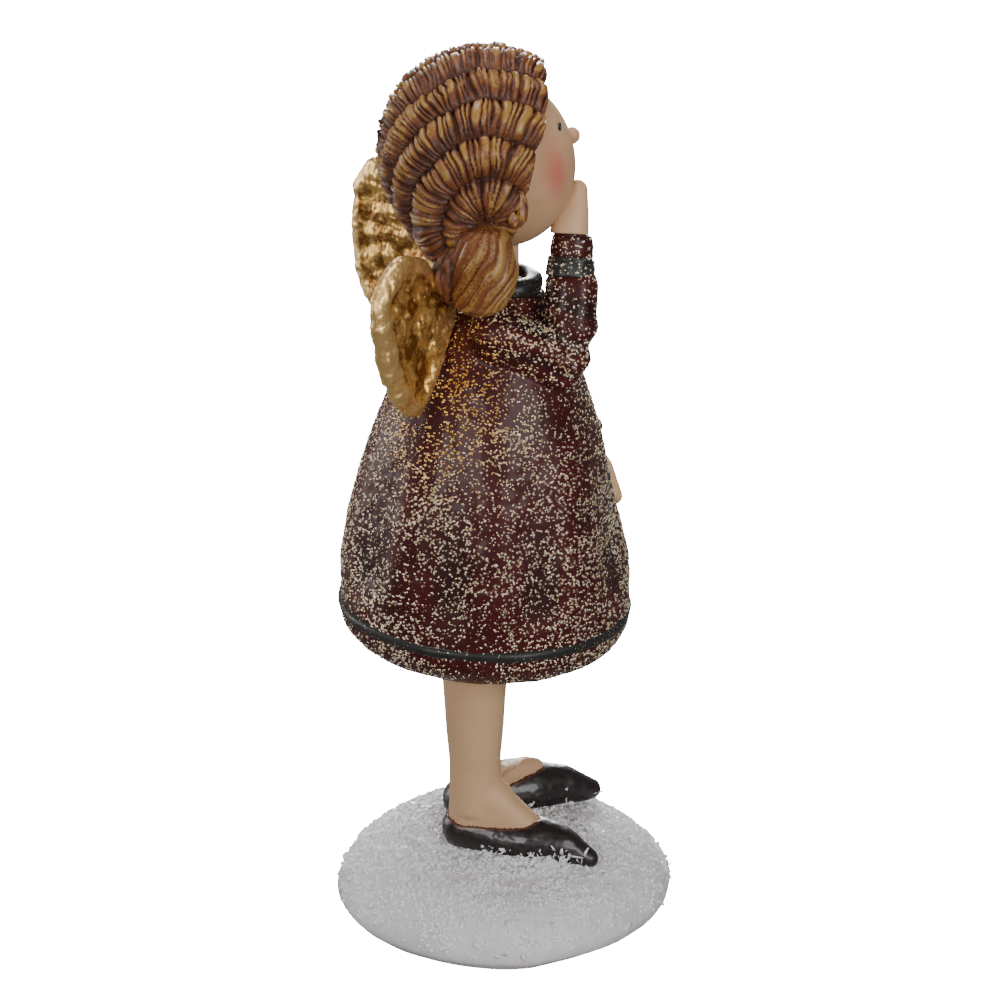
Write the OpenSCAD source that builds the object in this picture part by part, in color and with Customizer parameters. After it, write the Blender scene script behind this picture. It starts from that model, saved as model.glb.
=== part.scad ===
// Cast resin angel girl on a snow-covered pebble base.
// Origin: centre of the base's flat underside. +Z up, the figure faces -Y, its right hand is at -X.

/* [Base] */
// Greatest radius of the pebble base, snow included
base_r = 26.3; // [22:0.1:32]
// Height of the base's widest line above its underside
base_equator_z = 4.4; // [3:0.1:7]
// Height of the dome above the widest line, snow included
dome_h = 11.6; // [9:0.1:15]
// Radius of the flat foot it stands on, as a share of its greatest radius
foot_share = 0.44; // [0.3:0.01:0.7]
// Thickness of the snow crust
snow_t = 0.7; // [0.4:0.05:1.5]

/* [Legs] */
// Gap between each leg, at the hem, and the middle plane
leg_gap = 0.3; // [0.2:0.05:1.5]
// Place of the right leg's axis, front to back
right_leg_y = 5.3; // [3:0.1:7]
// Place of the left leg's axis, front to back
left_leg_y = 4.2; // [3:0.1:7]
// Radius of the leg just above the ankle
ankle_r = 3.95; // [3:0.05:4.2]
// Radius of the leg at the hem
knee_r = 4.95; // [4.1:0.05:6]
// Height of the ankle, where the leg is thinnest
ankle_z = 29; // [26:0.5:34]
// Radius of the steel rod cast into each leg
rod_r = 0.8; // [0.5:0.05:1.2]

/* [Shoes] */
// Length of the shoe ahead of the leg's axis
shoe_front = 19.6; // [16:0.1:22]
// Length of the shoe behind the leg's axis
shoe_back = 5.2; // [4:0.1:6]
// Greatest half width of the shoe
shoe_half_w = 4.3; // [3.8:0.05:5]
// Height of the shoe's top line at the heel
shoe_top_z = 21; // [20:0.1:23]
// How far the right foot turns out
right_splay = 20; // [10:1:30]
// How far the left foot turns out
left_splay = 14; // [10:1:30]

/* [Dress] */
// Greatest radius of the skirt
skirt_r = 22; // [18.3:0.1:26.5]
// Height of the hem above the ground
hem_z = 47; // [42:0.1:52]
// Height of the rounded hem
hem_h = 6; // [4:0.1:8]
// How much the underside of the hem draws in
hem_in = 5; // [2:0.1:6]
// Length of the bell from the widest line to its vanishing top
bell_h = 56.4; // [50:0.2:64]
// Height of the neckline above the hem
neckline_h = 58.6; // [54:0.1:61]
// Forward lean of the figure above the hem
lean = 2.5; // [0:0.5:6]
// Place of the dress's axis at the hem, front to back
dress_y = 3.5; // [1:0.1:5]
// Height of the ribbon round the hem
ribbon_h = 1.5; // [1:0.1:2.5]
// How far the ribbon stands proud
ribbon_proud = 0.35; // [0.2:0.05:0.8]
// Radius of the collar's ring
collar_r = 5.7; // [5:0.1:7]
// Radius of the collar's roll
collar_roll = 1.5; // [1:0.1:2]

/* [Head] */
// Centre of the head, front to back
head_y = 1.3; // [-1:0.1:3]
// Centre of the head above the ground
head_z = 123.7; // [122:0.1:127]
// Radius of the head from side to side and front to back
head_r = 11.4; // [10.5:0.1:12.4]
// Half the length of the head from crown to chin
head_half_h = 12.9; // [12:0.1:14]
// How far the face looks up
head_tilt = 15; // [5:1:22]
// Radius of the neck
neck_r = 2.9; // [2.6:0.1:4]
// Radius of the peg between head and body
peg_r = 1.25; // [0.8:0.05:1.6]
// Radius of the nose
nose_r = 1.05; // [0.7:0.05:1.3]
// Radius of each painted eye bead
eye_r = 0.75; // [0.5:0.05:1]

/* [Hair] */
// Radius of the hair cap
hair_r = 15.7; // [14.8:0.1:19.1]
// Centre of the hair cap, front to back
hair_y = 3.4; // [2:0.1:5]
// Height of the hair's lowest point, at the nape
nape_z = 109.7; // [108.5:0.1:112]
// Place of the hairline ahead of the hair cap's centre
hairline = 6.6; // [6.2:0.1:8]
// Backward slope of the hairline
hairline_slope = 13; // [0:1:20]
// How far each bun's centre lies inside the widest line of the hair
bun_in = 2.1; // [0.7:0.1:2.7]
// Greatest radius of a bun
bun_r = 4.6; // [3.5:0.1:5.2]
// Height of a bun from its tie to its lowest point
bun_h = 13; // [11:0.1:15]
// Radius of the little curl in front of each ear
curl_r = 1.3; // [1:0.05:1.8]

/* [Wings] */
// Distance of the wing's root from the middle
wing_root_x = 3; // [2:0.1:5]
// Reach of a wing from its root
wing_reach = 24; // [20:0.2:26]
// Height of a wing
wing_h = 26; // [22:0.2:30]
// Thickness of a wing
wing_t = 2.6; // [1.8:0.1:3.2]
// How far the wings sweep back
wing_sweep = 35; // [25:1:45]
// How far the right wing is turned down in its own plane, as glued on
right_wing_roll = 6; // [0:1:20]
// How far the left wing is turned up in its own plane, as glued on
left_wing_roll = 16; // [0:1:20]

/* [Arms] */
// Distance of each shoulder from the middle
shoulder_x = 8.6; // [8:0.1:10]
// Radius of the sleeve at the shoulder
shoulder_r = 4.5; // [4:0.1:5]
// Radius of the sleeve at the elbow
elbow_r = 4.3; // [3.4:0.1:4.8]
// Radius of the sleeve at the wrist
wrist_r = 3; // [2.4:0.1:3.6]
// Width of the band round each cuff
cuff_w = 2.8; // [2:0.1:4]
// How far the band stands proud of the sleeve
cuff_proud = 0.2; // [0.1:0.05:0.5]

/* [Hidden] */
// How quickly the bell closes towards the shoulders
BELL_POWER = 0.72;
// Clearance round the steel rods and pegs
glue_gap = 0.05;
// Thickness of the ribbon under its surface
ribbon_depth = 0.8;
// Depth of the leg's socket in the dress
leg_socket = 6;
leg_x = knee_r + leg_gap;
leg_top_z = hem_z + leg_socket;
rod_foot_z = 4;
rod_top_z = leg_top_z + 6;
ankle_drop = 8;
ribbon_z = hem_h - ribbon_h / 2;
ribbon_r = skirt_r + ribbon_proud;
dress_top_z = hem_z + neckline_h * cos(lean);
neck_y = dress_y - neckline_h * sin(lean);
head_foot_z = head_z - head_half_h * cos(head_tilt);
shoulder_z = hem_z + neckline_h - 6;
shoulder_y = neck_y + 1;
right_elbow = [-10, -7.3, 95.9];
right_wrist = [-4.2, -9.5, 113.4];
right_palm = [-3.1, -9.9, 116.2];
right_tip = [-1.5, -10.4, 119.3];
left_elbow = [14.2, -5, 86];
left_wrist = [12.4, dress_front(12.4, 74.5) - 1.4, 74.5];
left_palm = [9.2, dress_front(9.2, 71) - 1.3, 71];
left_tip = [5, dress_front(5, 68) - 0.4, 68];
hair_z = nape_z + hair_r;
// The sleeve's tube runs a little inside each joint's ball, so that they cross in a clean circle
SLEEVE_INSIDE = 0.97;
// Where the cuff's band begins, as a share of the forearm, and how deep it is let in
cuff_from = 0.66;
cuff_depth = 0.6;
// Wing outline: each point is [share of reach, share of height]
WING_POINTS = [
    [0.05, 0.36], [0.22, 0.70], [0.44, 0.92], [0.70, 1.00], [0.92, 0.92], [1.00, 0.72],
    [0.96, 0.52], [0.91, 0.33], [0.78, 0.12], [0.60, 0.00], [0.42, 0.09], [0.24, 0.27]];
wing_root_z = hem_z + neckline_h - 4.4;
wing_y = neck_y + 6.2;
CURVE_STEPS = 4;

$fn = 64;

function bell_r(h) = skirt_r * pow(1 - pow(h / bell_h, 2), BELL_POWER);
// Front of the dress at a place x to the side and z above the ground
function dress_front(x, z) = dress_y - sqrt(pow(bell_r(z - hem_z - hem_h), 2) - x * x)
    - (z - hem_z) * sin(lean);
function hem_r(h) = skirt_r - hem_in + hem_in * sqrt(1 - pow(1 - h / hem_h, 2));
function dome_r(a, r) = r * pow(cos(a), 0.86);
function curve(p0, p1, p2, p3, t) = 0.5 * (2 * p1 + (p2 - p0) * t
    + (2 * p0 - 5 * p1 + 4 * p2 - p3) * t * t + (3 * p1 - p0 - 3 * p2 + p3) * t * t * t);
function closed_curve(p) = let (n = len(p)) [for (i = [0 : n - 1], s = [0 : CURVE_STEPS - 1])
    curve(p[(i + n - 1) % n], p[i], p[(i + 1) % n], p[(i + 2) % n], s / CURVE_STEPS)];
function between(a, b, t) = a + (b - a) * t;
function face_point(yaw, pitch) = [
    head_r * sin(yaw) * cos(pitch), -head_r * cos(yaw) * cos(pitch), head_half_h * sin(pitch)];

module tapered(a, b, ra, rb) {
    d = b - a;
    translate(a)
        rotate([0, acos(d.z / norm(d)), atan2(d.y, d.x)])
            cylinder(h = norm(d), r1 = ra, r2 = rb);
}

module dome(shrink) {
    r = base_r - shrink;
    h = dome_h - shrink;
    steps = 18;
    rim = [for (i = [0 : steps]) let (a = 90 * i / steps)
        [dome_r(a, r), base_equator_z + h * sin(a)]];
    foot_a = acos(foot_share);
    keel = [for (i = [0 : steps - 1]) let (a = foot_a * (steps - i) / steps)
        [r * cos(a), base_equator_z * (1 - sin(a) / sin(foot_a))]];
    rotate_extrude($fn = 96)
        polygon(concat([[0, 0]], keel, rim));
}

module base_body() {
    difference() {
        dome(snow_t);
        leg_rods(glue_gap);
    }
}

module leg_rods(gap) {
    for (side = [-1, 1])
        rod(side, gap);
}

module rod(side, gap) {
    y = side < 0 ? right_leg_y : left_leg_y;
    translate([side * leg_x, y, rod_foot_z - gap])
        cylinder(h = rod_top_z - rod_foot_z + 2 * gap, r = rod_r + gap);
}

module at_foot(side) {
    y = side < 0 ? right_leg_y : left_leg_y;
    splay = side < 0 ? -right_splay : left_splay;
    translate([side * leg_x, y, 0])
        rotate([0, 0, splay])
            children();
}

module foot_form(side) {
    at_foot(side)
        hull() {
            translate([0, 0, ankle_z - ankle_drop + 4])
                sphere(r = ankle_r - 0.2, $fn = 28);
            translate([0, 1.2, ankle_z - ankle_drop - 2.4])
                sphere(r = 3.1, $fn = 24);
            translate([0, -5, ankle_z - ankle_drop - 1.4])
                sphere(r = 2.9, $fn = 24);
            translate([0, -9.6, ankle_z - ankle_drop - 3.4])
                sphere(r = 2.2, $fn = 24);
        }
}

module shoe_form(side) {
    toe_r = 1.6;
    heel_r = 3.7;
    toe_drop = side < 0 ? 6.7 : 5.2;
    at_foot(side)
        hull() {
            translate([0, shoe_back - heel_r, shoe_top_z - 3.4])
                sphere(r = heel_r, $fn = 28);
            translate([0, -4, shoe_top_z - 4.2])
                sphere(r = shoe_half_w - 0.2, $fn = 28);
            translate([0, -9, shoe_top_z - toe_drop + 1.9])
                sphere(r = shoe_half_w, $fn = 28);
            translate([0, -13.5, shoe_top_z - toe_drop + 2])
                sphere(r = shoe_half_w - 1.3, $fn = 24);
            translate([0, toe_r - shoe_front, shoe_top_z - toe_drop])
                sphere(r = toe_r, $fn = 20);
        }
}

module leg(side) {
    y = side < 0 ? right_leg_y : left_leg_y;
    color("tan")
        difference() {
            union() {
                translate([side * leg_x, y, 0])
                    rotate_extrude()
                        polygon([[0, ankle_z - ankle_drop], [ankle_r, ankle_z - ankle_drop],
                            [ankle_r, ankle_z], [ankle_r + 0.45, ankle_z + 5],
                            [knee_r, hem_z - 4], [knee_r, leg_top_z], [0, leg_top_z]]);
                foot_form(side);
            }
            dome(0);
            rod(side, glue_gap);
        }
}

module shoe(side) {
    y = side < 0 ? right_leg_y : left_leg_y;
    color([0.16, 0.12, 0.12])
        difference() {
            shoe_form(side);
            foot_form(side);
            dome(0);
            translate([side * leg_x, y, ankle_z - ankle_drop - 0.5])
                cylinder(h = ankle_drop, r = ankle_r);
            at_foot(side)
                translate([-shoe_half_w - 1, -9.5, shoe_top_z + 0.1])
                    cube([2 * shoe_half_w + 2, shoe_back + 12, 10]);
            rod(side, glue_gap);
        }
}

module at_dress() {
    translate([0, dress_y, hem_z])
        rotate([lean, 0, 0])
            children();
}

module bell_form() {
    steps = 22;
    hem_steps = 8;
    hem = [for (i = [0 : hem_steps]) let (h = hem_h * (1 - cos(90 * i / hem_steps)))
        [hem_r(h), h]];
    bell = [for (i = [1 : steps]) let (h = (neckline_h - hem_h) * i / steps)
        [bell_r(h), h + hem_h]];
    at_dress()
        rotate_extrude($fn = 96)
            polygon(concat([[0, 0]], hem, bell, [[0, neckline_h]]));
}

module dress_body() {
    difference() {
        bell_form();
        ribbon_form(ribbon_r + 1);
        for (side = [-1, 1]) {
            y = side < 0 ? right_leg_y : left_leg_y;
            translate([side * leg_x, y, hem_z - 2])
                cylinder(h = leg_socket + 2 + glue_gap, r = knee_r + glue_gap);
            wing_peg(side, glue_gap);
        }
        leg_rods(glue_gap);
        head_peg_form(glue_gap);
    }
}

module ribbon_form(outer) {
    at_dress()
        translate([0, 0, ribbon_z])
            rotate_extrude($fn = 96)
                translate([skirt_r - ribbon_depth, 0])
                    square([outer - skirt_r + ribbon_depth, ribbon_h]);
}

module hem_ribbon() {
    color([0.2, 0.19, 0.19])
        ribbon_form(ribbon_r);
}

module collar() {
    color([0.13, 0.13, 0.14])
        difference() {
            at_dress()
                translate([0, 0, neckline_h - 0.4])
                    rotate_extrude()
                        translate([collar_r - collar_roll / 2, 0])
                            circle(r = collar_roll, $fn = 32);
            bell_form();
            neck_form();
        }
}

module neck_form() {
    translate([0, neck_y, dress_top_z - 1])
        cylinder(h = head_foot_z - dress_top_z + 5, r = neck_r);
}

module neck() {
    color("tan")
        difference() {
            neck_form();
            bell_form();
            head_form();
            head_peg_form(glue_gap);
        }
}

module head_peg_form(gap) {
    foot_z = dress_top_z - 10;
    translate([0, neck_y, foot_z - gap])
        cylinder(h = head_z - foot_z + 2 * gap, r = peg_r + gap);
}

module head_peg() {
    color("silver")
        head_peg_form(0);
}

module at_head() {
    translate([0, head_y, head_z])
        rotate([-head_tilt, 0, 0])
            children();
}

module head_form() {
    steps = 30;
    at_head()
        rotate_extrude($fn = 96)
            polygon([for (i = [0 : steps]) let (a = 180 * i / steps - 90)
                [head_r * cos(a), head_half_h * sin(a)]]);
}

module head() {
    color("burlywood")
        difference() {
            head_form();
            head_peg_form(glue_gap);
        }
}

module nose() {
    color("burlywood")
        difference() {
            at_head()
                translate(face_point(0, 3) * 1.02)
                    sphere(r = nose_r);
            head_form();
        }
}

module eye(side) {
    color([0.1, 0.1, 0.1])
        difference() {
            at_head()
                translate(face_point(side * 25, 18) * 0.965)
                    sphere(r = eye_r);
            head_form();
        }
}

module hair_ball() {
    translate([0, hair_y, hair_z])
        sphere(r = hair_r, $fn = 96);
}

module hair_cap() {
    big = 3 * hair_r;
    color("peru")
        difference() {
            hair_ball();
            translate([0, hair_y - hairline, hair_z])
                rotate([hairline_slope, 0, 0])
                    translate([-big / 2, -big, -big / 2])
                        cube([big, big, big]);
            head_form();
            neck_form();
            head_peg_form(glue_gap);
        }
}

module bun(side) {
    color("sandybrown")
        difference() {
            translate([side * (hair_r - bun_in), hair_y + 0.7, hair_z - 7.3])
                rotate([0, side * 3, 0])
                    rotate_extrude()
                        polygon(concat([[0, 0], [1.9, 0]],
                            [for (a = [50 : -10 : -90]) [
                                bun_r * cos(a), -bun_h + bun_r * 1.25 * (1 + sin(a))]]));
            hair_ball();
            bell_form();
        }
}

module curl(side) {
    color("goldenrod")
        difference() {
            translate([0, hair_y, hair_z] + hair_r * [side * 0.905, -0.274, -0.344])
                rotate([0, 90, side * 18])
                    rotate_extrude($fn = 48)
                        translate([curl_r, 0])
                            circle(r = curl_r * 0.62, $fn = 24);
            hair_ball();
            head_form();
        }
}

module at_wing(side) {
    roll = side < 0 ? -right_wing_roll : left_wing_roll;
    mirror([side < 0 ? 1 : 0, 0, 0])
        translate([wing_root_x, wing_y, wing_root_z])
            rotate([90, 0, wing_sweep])
                rotate([0, 0, roll])
                    children();
}

module wing(side) {
    // The height share at which the wing's root lies
    root_share = 0.4;
    points = [for (p = WING_POINTS) [p.x * wing_reach, (p.y - root_share) * wing_h]];
    color("gold")
        difference() {
            at_wing(side)
                translate([0, 0, -wing_t / 2])
                    linear_extrude(height = wing_t)
                        polygon(closed_curve(points));
            bell_form();
            hair_ball();
            wing_peg(side, glue_gap);
        }
}

module wing_peg(side, gap) {
    at_wing(side)
        rotate([0, 90, 0])
            translate([0, 0, -2 - gap])
                cylinder(h = 9 + 2 * gap, r = 0.8 + gap, $fn = 32);
}

module sleeve_form(shoulder, elbow, wrist) {
    tapered(shoulder, elbow, shoulder_r * SLEEVE_INSIDE, elbow_r * SLEEVE_INSIDE);
    tapered(elbow, wrist, elbow_r * SLEEVE_INSIDE, wrist_r);
    translate(shoulder)
        sphere(r = shoulder_r);
    translate(elbow)
        sphere(r = elbow_r);
}

module cuff_form(elbow, wrist, grow, overrun) {
    along = (wrist - elbow) / norm(wrist - elbow);
    slope = (wrist_r - elbow_r * SLEEVE_INSIDE) / norm(wrist - elbow);
    start = cuff_from * norm(wrist - elbow) - overrun;
    end = start + cuff_w + 2 * overrun;
    r = elbow_r * SLEEVE_INSIDE + grow;
    tapered(elbow + along * start, elbow + along * end, r + slope * start, r + slope * end);
}

module cuff_ring(elbow, wrist, outer) {
    difference() {
        cuff_form(elbow, wrist, outer, 0);
        cuff_form(elbow, wrist, -cuff_depth, 1);
    }
}

module sleeve(side) {
    elbow = side < 0 ? right_elbow : left_elbow;
    wrist = side < 0 ? right_wrist : left_wrist;
    color([0.34, 0.14, 0.13])
        difference() {
            sleeve_form([side * shoulder_x, shoulder_y, shoulder_z], elbow, wrist);
            cuff_ring(elbow, wrist, 1);
            bell_form();
            collar_keepout();
        }
}

module collar_keepout() {
    at_dress()
        translate([0, 0, neckline_h - 0.4])
            cylinder(h = 6, r = collar_r + collar_roll / 2);
}

module cuff_band(side) {
    elbow = side < 0 ? right_elbow : left_elbow;
    wrist = side < 0 ? right_wrist : left_wrist;
    color([0.13, 0.13, 0.14])
        difference() {
            cuff_ring(elbow, wrist, cuff_proud);
            bell_form();
        }
}

module hand(side) {
    wrist = side < 0 ? right_wrist : left_wrist;
    palm = side < 0 ? right_palm : left_palm;
    tip = side < 0 ? right_tip : left_tip;
    elbow = side < 0 ? right_elbow : left_elbow;
    color("burlywood")
        difference() {
            hull() {
                translate(wrist)
                    sphere(r = wrist_r - 0.7, $fn = 24);
                translate(palm)
                    sphere(r = 2, $fn = 28);
                translate(tip)
                    sphere(r = 1.5, $fn = 24);
            }
            tapered(elbow, wrist, elbow_r * SLEEVE_INSIDE, wrist_r);
            if (side < 0)
                head_form();
            else
                bell_form();
        }
}

module snow_crust() {
    color("whitesmoke")
        difference() {
            dome(0);
            dome(snow_t);
            translate([0, 0, -1])
                cylinder(h = base_equator_z + 1, r = base_r + 1);
            leg_rods(glue_gap);
        }
}

color("gainsboro") base_body();  // base_mound
snow_crust();
leg(-1);  // right_leg
leg(1);  // left_leg
color("silver") rod(-1, 0);  // right_leg_rod
color("silver") rod(1, 0);  // left_leg_rod
shoe(-1);  // right_shoe
shoe(1);  // left_shoe
color([0.34, 0.14, 0.13]) dress_body();  // dress
hem_ribbon();
collar();
neck();
head_peg();
head();
nose();
eye(-1);  // right_eye
eye(1);  // left_eye
hair_cap();
bun(-1);  // right_bun
bun(1);  // left_bun
curl(-1);  // right_curl
curl(1);  // left_curl
wing(-1);  // right_wing
wing(1);  // left_wing
color("silver") wing_peg(-1, 0);  // right_wing_peg
color("silver") wing_peg(1, 0);  // left_wing_peg
sleeve(-1);  // right_sleeve
sleeve(1);  // left_sleeve
cuff_band(-1);  // right_cuff_band
cuff_band(1);  // left_cuff_band
hand(-1);  // right_hand
hand(1);  // left_hand
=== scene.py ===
# %% [markdown]
# # A cast resin angel on a snowy mound
# The real object is a small hand-painted casting: one girl in a glittered dress,
# with leaf-gold wings, standing on a low white mound. Everything here is built
# round a CAD frame in metres, so each piece goes where its CAD node already is.
# The parts that the eye goes to (hair, dress, wings, face) are modelled anew,
# and small solid parts start from a copy of their node that is remeshed and
# worked over, as a sculptor would rework a rough blank.

# %% Opening the frame
from math import cos, pi, radians, sin

import bpy
import numpy as np
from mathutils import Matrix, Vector


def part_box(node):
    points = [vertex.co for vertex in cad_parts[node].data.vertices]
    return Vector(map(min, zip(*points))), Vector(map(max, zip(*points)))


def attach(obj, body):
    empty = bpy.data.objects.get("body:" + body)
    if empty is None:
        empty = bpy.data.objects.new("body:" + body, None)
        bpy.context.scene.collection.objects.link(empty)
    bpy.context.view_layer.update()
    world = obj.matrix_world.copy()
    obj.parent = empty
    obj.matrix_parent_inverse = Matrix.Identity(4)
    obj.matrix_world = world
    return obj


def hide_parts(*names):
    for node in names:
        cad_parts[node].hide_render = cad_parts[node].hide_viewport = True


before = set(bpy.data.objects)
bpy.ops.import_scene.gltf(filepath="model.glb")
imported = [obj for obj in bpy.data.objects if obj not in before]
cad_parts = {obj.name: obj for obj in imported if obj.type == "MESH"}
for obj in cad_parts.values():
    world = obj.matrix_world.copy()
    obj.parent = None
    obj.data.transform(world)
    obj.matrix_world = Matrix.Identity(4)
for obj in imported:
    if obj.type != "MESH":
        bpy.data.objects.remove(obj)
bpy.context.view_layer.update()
MM = 0.001

# %% [markdown]
# ## The camera
# The figurine is seen from its right side, a little from behind and from above,
# through a long lens. The camera is made first, so that every later choice can be
# judged from where the piece is looked at. A turntable angle and a height are
# easier to read than a matrix, so its place is worked out from those two.

# %% Placing the camera
CAMERA_TURN = radians(264)
CAMERA_RISE = radians(22.5)
CAMERA_DISTANCE = 0.63333
CAMERA_AIM = Vector((0.0035717, 0.0004957, 0.0684503))

towards_camera = Vector((sin(CAMERA_TURN) * cos(CAMERA_RISE),
                         -cos(CAMERA_TURN) * cos(CAMERA_RISE),
                         sin(CAMERA_RISE)))
bpy.ops.object.camera_add(
    location=CAMERA_AIM + towards_camera * CAMERA_DISTANCE,
    rotation=(-towards_camera).to_track_quat("-Z", "Y").to_euler())
camera = bpy.context.object
camera.name = "camera"
camera.data.lens = 150
camera.data.sensor_width = 36
camera.data.clip_start, camera.data.clip_end = 0.05, 6
bpy.context.scene.camera = camera
print("camera at", [round(x, 3) for x in camera.location])

# %% [markdown]
# ## A few tools for the bench
# Operators act on whatever is selected, so every step starts by selecting one
# piece and nothing else. Sculpting is done by moving vertices in code: the points
# of a mesh are read into an array, moved all together, and written back.

# %% Selecting, editing and finishing with modifiers
def ready(*pieces):
    """Selects only these pieces, and makes the first one active."""
    if bpy.context.object and bpy.context.object.mode != "OBJECT":
        bpy.ops.object.mode_set(mode="OBJECT")
    bpy.ops.object.select_all(action="DESELECT")
    for piece in pieces:
        piece.select_set(True)
    bpy.context.view_layer.objects.active = pieces[0]


def edit(piece, select="SELECT"):
    """Opens one piece in edit mode with everything (or nothing) selected."""
    ready(piece)
    bpy.ops.object.mode_set(mode="EDIT")
    bpy.ops.mesh.select_all(action=select)


def close_edit(merge=1e-6):
    """Welds double points, turns the faces outwards and leaves edit mode."""
    bpy.ops.mesh.select_all(action="SELECT")
    bpy.ops.mesh.remove_doubles(threshold=merge)
    bpy.ops.mesh.normals_make_consistent(inside=False)
    bpy.ops.object.mode_set(mode="OBJECT")


def modifier(piece, kind, **settings):
    """Adds one modifier, sets it and applies it at once."""
    ready(piece)
    made = piece.modifiers.new(kind.lower(), kind)
    for name, value in settings.items():
        setattr(made, name, value)
    bpy.ops.object.modifier_apply(modifier=made.name)
    return piece


print("a piece can now be selected, edited and given a modifier")

# %% Reading and moving points
def points(piece):
    """The place of every point of a mesh, in metres."""
    co = np.empty(len(piece.data.vertices) * 3, np.float32)
    piece.data.vertices.foreach_get("co", co)
    return co.reshape(-1, 3).astype(float)


def move_to(piece, co):
    """Puts the points of a mesh at new places."""
    piece.data.vertices.foreach_set("co", co.astype(np.float32).ravel())
    piece.data.update()
    return piece


def normals(piece):
    """The outward direction at every point."""
    out = np.empty(len(piece.data.vertices) * 3, np.float32)
    piece.data.vertex_normals.foreach_get("vector", out)
    return out.reshape(-1, 3).astype(float)


def mark(piece, name, values):
    """Stores one number per point, for a finish to read."""
    layer = piece.data.attributes.get(name) or piece.data.attributes.new(
        name, "FLOAT", "POINT")
    layer.data.foreach_set("value", np.asarray(values, np.float32).ravel())


def nearest(co, marks):
    """Distance from each point to the nearest mark."""
    out = np.empty(len(co))
    for start in range(0, len(co), 3000):
        gap = co[start:start + 3000, None, :] - marks[None, :, :]
        out[start:start + 3000] = np.sqrt((gap ** 2).sum(2).min(1))
    return out


print("points can now be read, moved, marked and measured")

# %% [markdown]
# Hand work is never quite even. Soft lumps and small differences from lock to lock
# come from two little random sources. Both are worked out from the place itself
# and not from a running dice, so a piece comes out the same each time.

# %% Soft steps, lumps and chance
def smooth_step(low, high, x):
    """Runs softly from 0 at low to 1 at high."""
    t = np.clip((x - low) / (high - low), 0, 1)
    return t * t * (3 - 2 * t)


def lumps(co, size, seed=0):
    """Soft random lumps between -1 and 1, with one lump every size metres."""
    p = co / size + seed * 17.31
    cell = np.floor(p).astype(np.int64)
    f = p - cell
    f = f * f * (3 - 2 * f)
    total = np.zeros(len(co))
    for corner in range(8):
        bit = np.array([corner & 1, corner >> 1 & 1, corner >> 2 & 1])
        c = cell + bit
        h = (c[:, 0] * 73856093) ^ (c[:, 1] * 19349663) ^ (c[:, 2] * 83492791)
        h = (h ^ (h >> 13)) * 1274126177 & 0x7FFFFFFF
        value = (h ^ (h >> 16)) % 65536 / 32767.5 - 1
        total += value * np.prod(np.where(bit == 1, f, 1 - f), axis=1)
    return total


def chance(*keys):
    """A repeatable random number from 0 to 1 for each row of whole numbers."""
    h = np.zeros(np.broadcast(*keys).shape, np.int64)
    for k, prime in zip(keys, (374761393, 668265263, 2147483647)):
        h = (h + np.asarray(k, np.int64) * prime) & 0x7FFFFFFF
        h = (h ^ (h >> 13)) * 1274126177 & 0x7FFFFFFF
    return (h ^ (h >> 16)) % 65536 / 65535


print("lumps at two places:", lumps(np.array([[0.0, 0, 0], [3, 1, 2]]), 1.7).round(2))

# %% [markdown]
# A blank is a rough start for a piece. Some are turned like wood on a lathe: an
# outline is drawn by extruding one point along it, and then spun. Others are a
# copy of a CAD solid, rebuilt by a voxel remesh into even small faces, because
# only an even mesh can be sculpted.

# %% Making blanks
def lathe(outline, turns):
    """Spins an outline of (radius, height) points in mm round the vertical axis."""
    bpy.ops.mesh.primitive_plane_add(size=MM)
    piece = bpy.context.object
    edit(piece)
    bpy.ops.mesh.merge(type="CENTER")
    r, z = outline[0]
    bpy.ops.transform.translate(value=(r * MM, 0, z * MM))
    for (r0, z0), (r1, z1) in zip(outline, outline[1:]):
        bpy.ops.mesh.extrude_region_move(TRANSFORM_OT_translate={
            "value": ((r1 - r0) * MM, 0, (z1 - z0) * MM)})
    bpy.ops.mesh.select_all(action="SELECT")
    bpy.ops.mesh.spin(steps=turns, angle=2 * pi, center=(0, 0, 0), axis=(0, 0, 1))
    close_edit()
    return piece


def blank_from(*nodes, voxel, soften):
    """A new piece with the shape of some CAD nodes, in even faces of voxel mm."""
    copies = []
    for node in nodes:
        copy = bpy.data.objects.new("blank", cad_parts[node].data.copy())
        bpy.context.scene.collection.objects.link(copy)
        edit(copy)
        close_edit()
        copies.append(copy)
    ready(*copies)
    if len(copies) > 1:
        bpy.ops.object.join()
    return rework(bpy.context.object, voxel, soften)


def rework(piece, voxel, soften):
    """Rebuilds a closed shape in even small faces and softens it."""
    modifier(piece, "REMESH", mode="VOXEL", voxel_size=voxel * MM)
    return modifier(piece, "SMOOTH", factor=0.5, iterations=soften)


def ball(radius, centre=(0, 0, 0), *, cuts):
    """An even ball with no poles: a cube, subdivided twice and cast to a sphere."""
    bpy.ops.mesh.primitive_cube_add(size=2 * radius, location=centre)
    piece = bpy.context.object
    edit(piece)
    bpy.ops.mesh.subdivide(number_cuts=cuts)
    bpy.ops.mesh.subdivide(number_cuts=cuts)
    close_edit(1e-7)
    modifier(piece, "CAST", cast_type="SPHERE", factor=1, use_radius_as_size=False,
             size=radius, radius=0)
    ready(piece)
    bpy.ops.object.transform_apply(location=True, rotation=True, scale=True)
    return piece


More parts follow.
